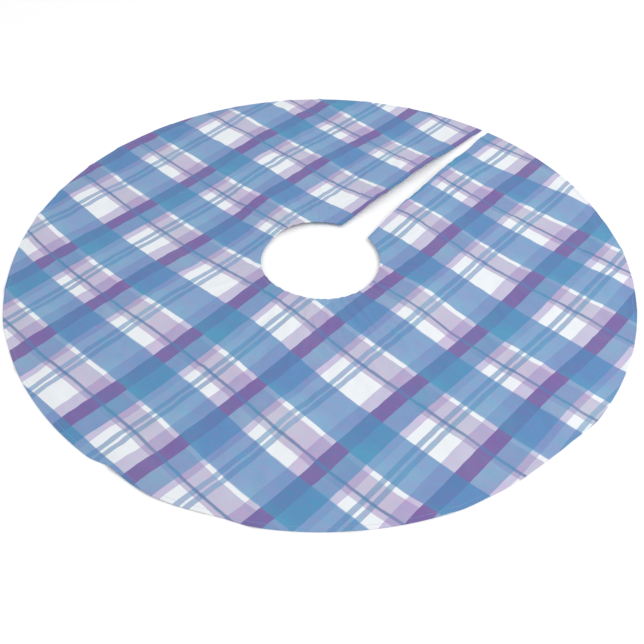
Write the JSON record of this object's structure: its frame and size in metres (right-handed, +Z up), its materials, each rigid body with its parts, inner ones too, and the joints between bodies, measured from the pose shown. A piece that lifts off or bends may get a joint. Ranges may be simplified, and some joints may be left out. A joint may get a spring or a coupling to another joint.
{
  "type": "tree skirt",
  "caption": "Round plaid cloth tree skirt with a hemmed trunk hole and a back slit, whose two flaps beside the slit fold back.",
  "frame": {"origin": "on the floor under the centre of the trunk hole, which is the centre of the skirt", "axes": "+Z up; the slit runs from the hole to the rim along +Y (the back); +X is to the right seen from above with the slit at the top"},
  "size_m": [1.1175, 1.1174, 0.0188],
  "materials": {
    "printed_cloth": "matte brushed polyester with a watercolour plaid print in blue, teal, lavender, purple and white; white unprinted reverse",
    "hem_cloth": "the printed cloth turned under in a narrow hem",
    "thread": "matte grey-blue polyester sewing thread",
    "label_tape": "white woven satin tape, blank"
  },
  "bodies": {
    "skirt": {"face_cloth_main": "printed_cloth", "rim_hem_main": "hem_cloth", "neck_hem_main": "hem_cloth", "rim_stitching_main": "thread", "neck_stitching_main": "thread"},
    "left_flap": {"face_cloth_left_flap": "printed_cloth", "rim_hem_left_flap": "hem_cloth", "neck_hem_left_flap": "hem_cloth", "slit_hem_left": "hem_cloth", "rim_stitching_left_flap": "thread", "neck_stitching_left_flap": "thread", "slit_stitching_left": "thread", "care_label": "label_tape"},
    "right_flap": {"face_cloth_right_flap": "printed_cloth", "rim_hem_right_flap": "hem_cloth", "neck_hem_right_flap": "hem_cloth", "slit_hem_right": "hem_cloth", "rim_stitching_right_flap": "thread", "neck_stitching_right_flap": "thread", "slit_stitching_right": "thread"}
  },
  "joints": [
    {"name": "left_flap_fold", "type": "hinge", "parent": "skirt", "child": "left_flap", "pos_m": [-0.06345, 0.08733, 0.0105], "axis": [0.5878, -0.809, 0.0104], "range_deg": [0, 160]},
    {"name": "right_flap_fold", "type": "hinge", "parent": "skirt", "child": "right_flap", "pos_m": [0.05398, 0.09349, 0.0176], "axis": [0.5, 0.8659, -0.0133], "range_deg": [0, 160]}
  ]
}
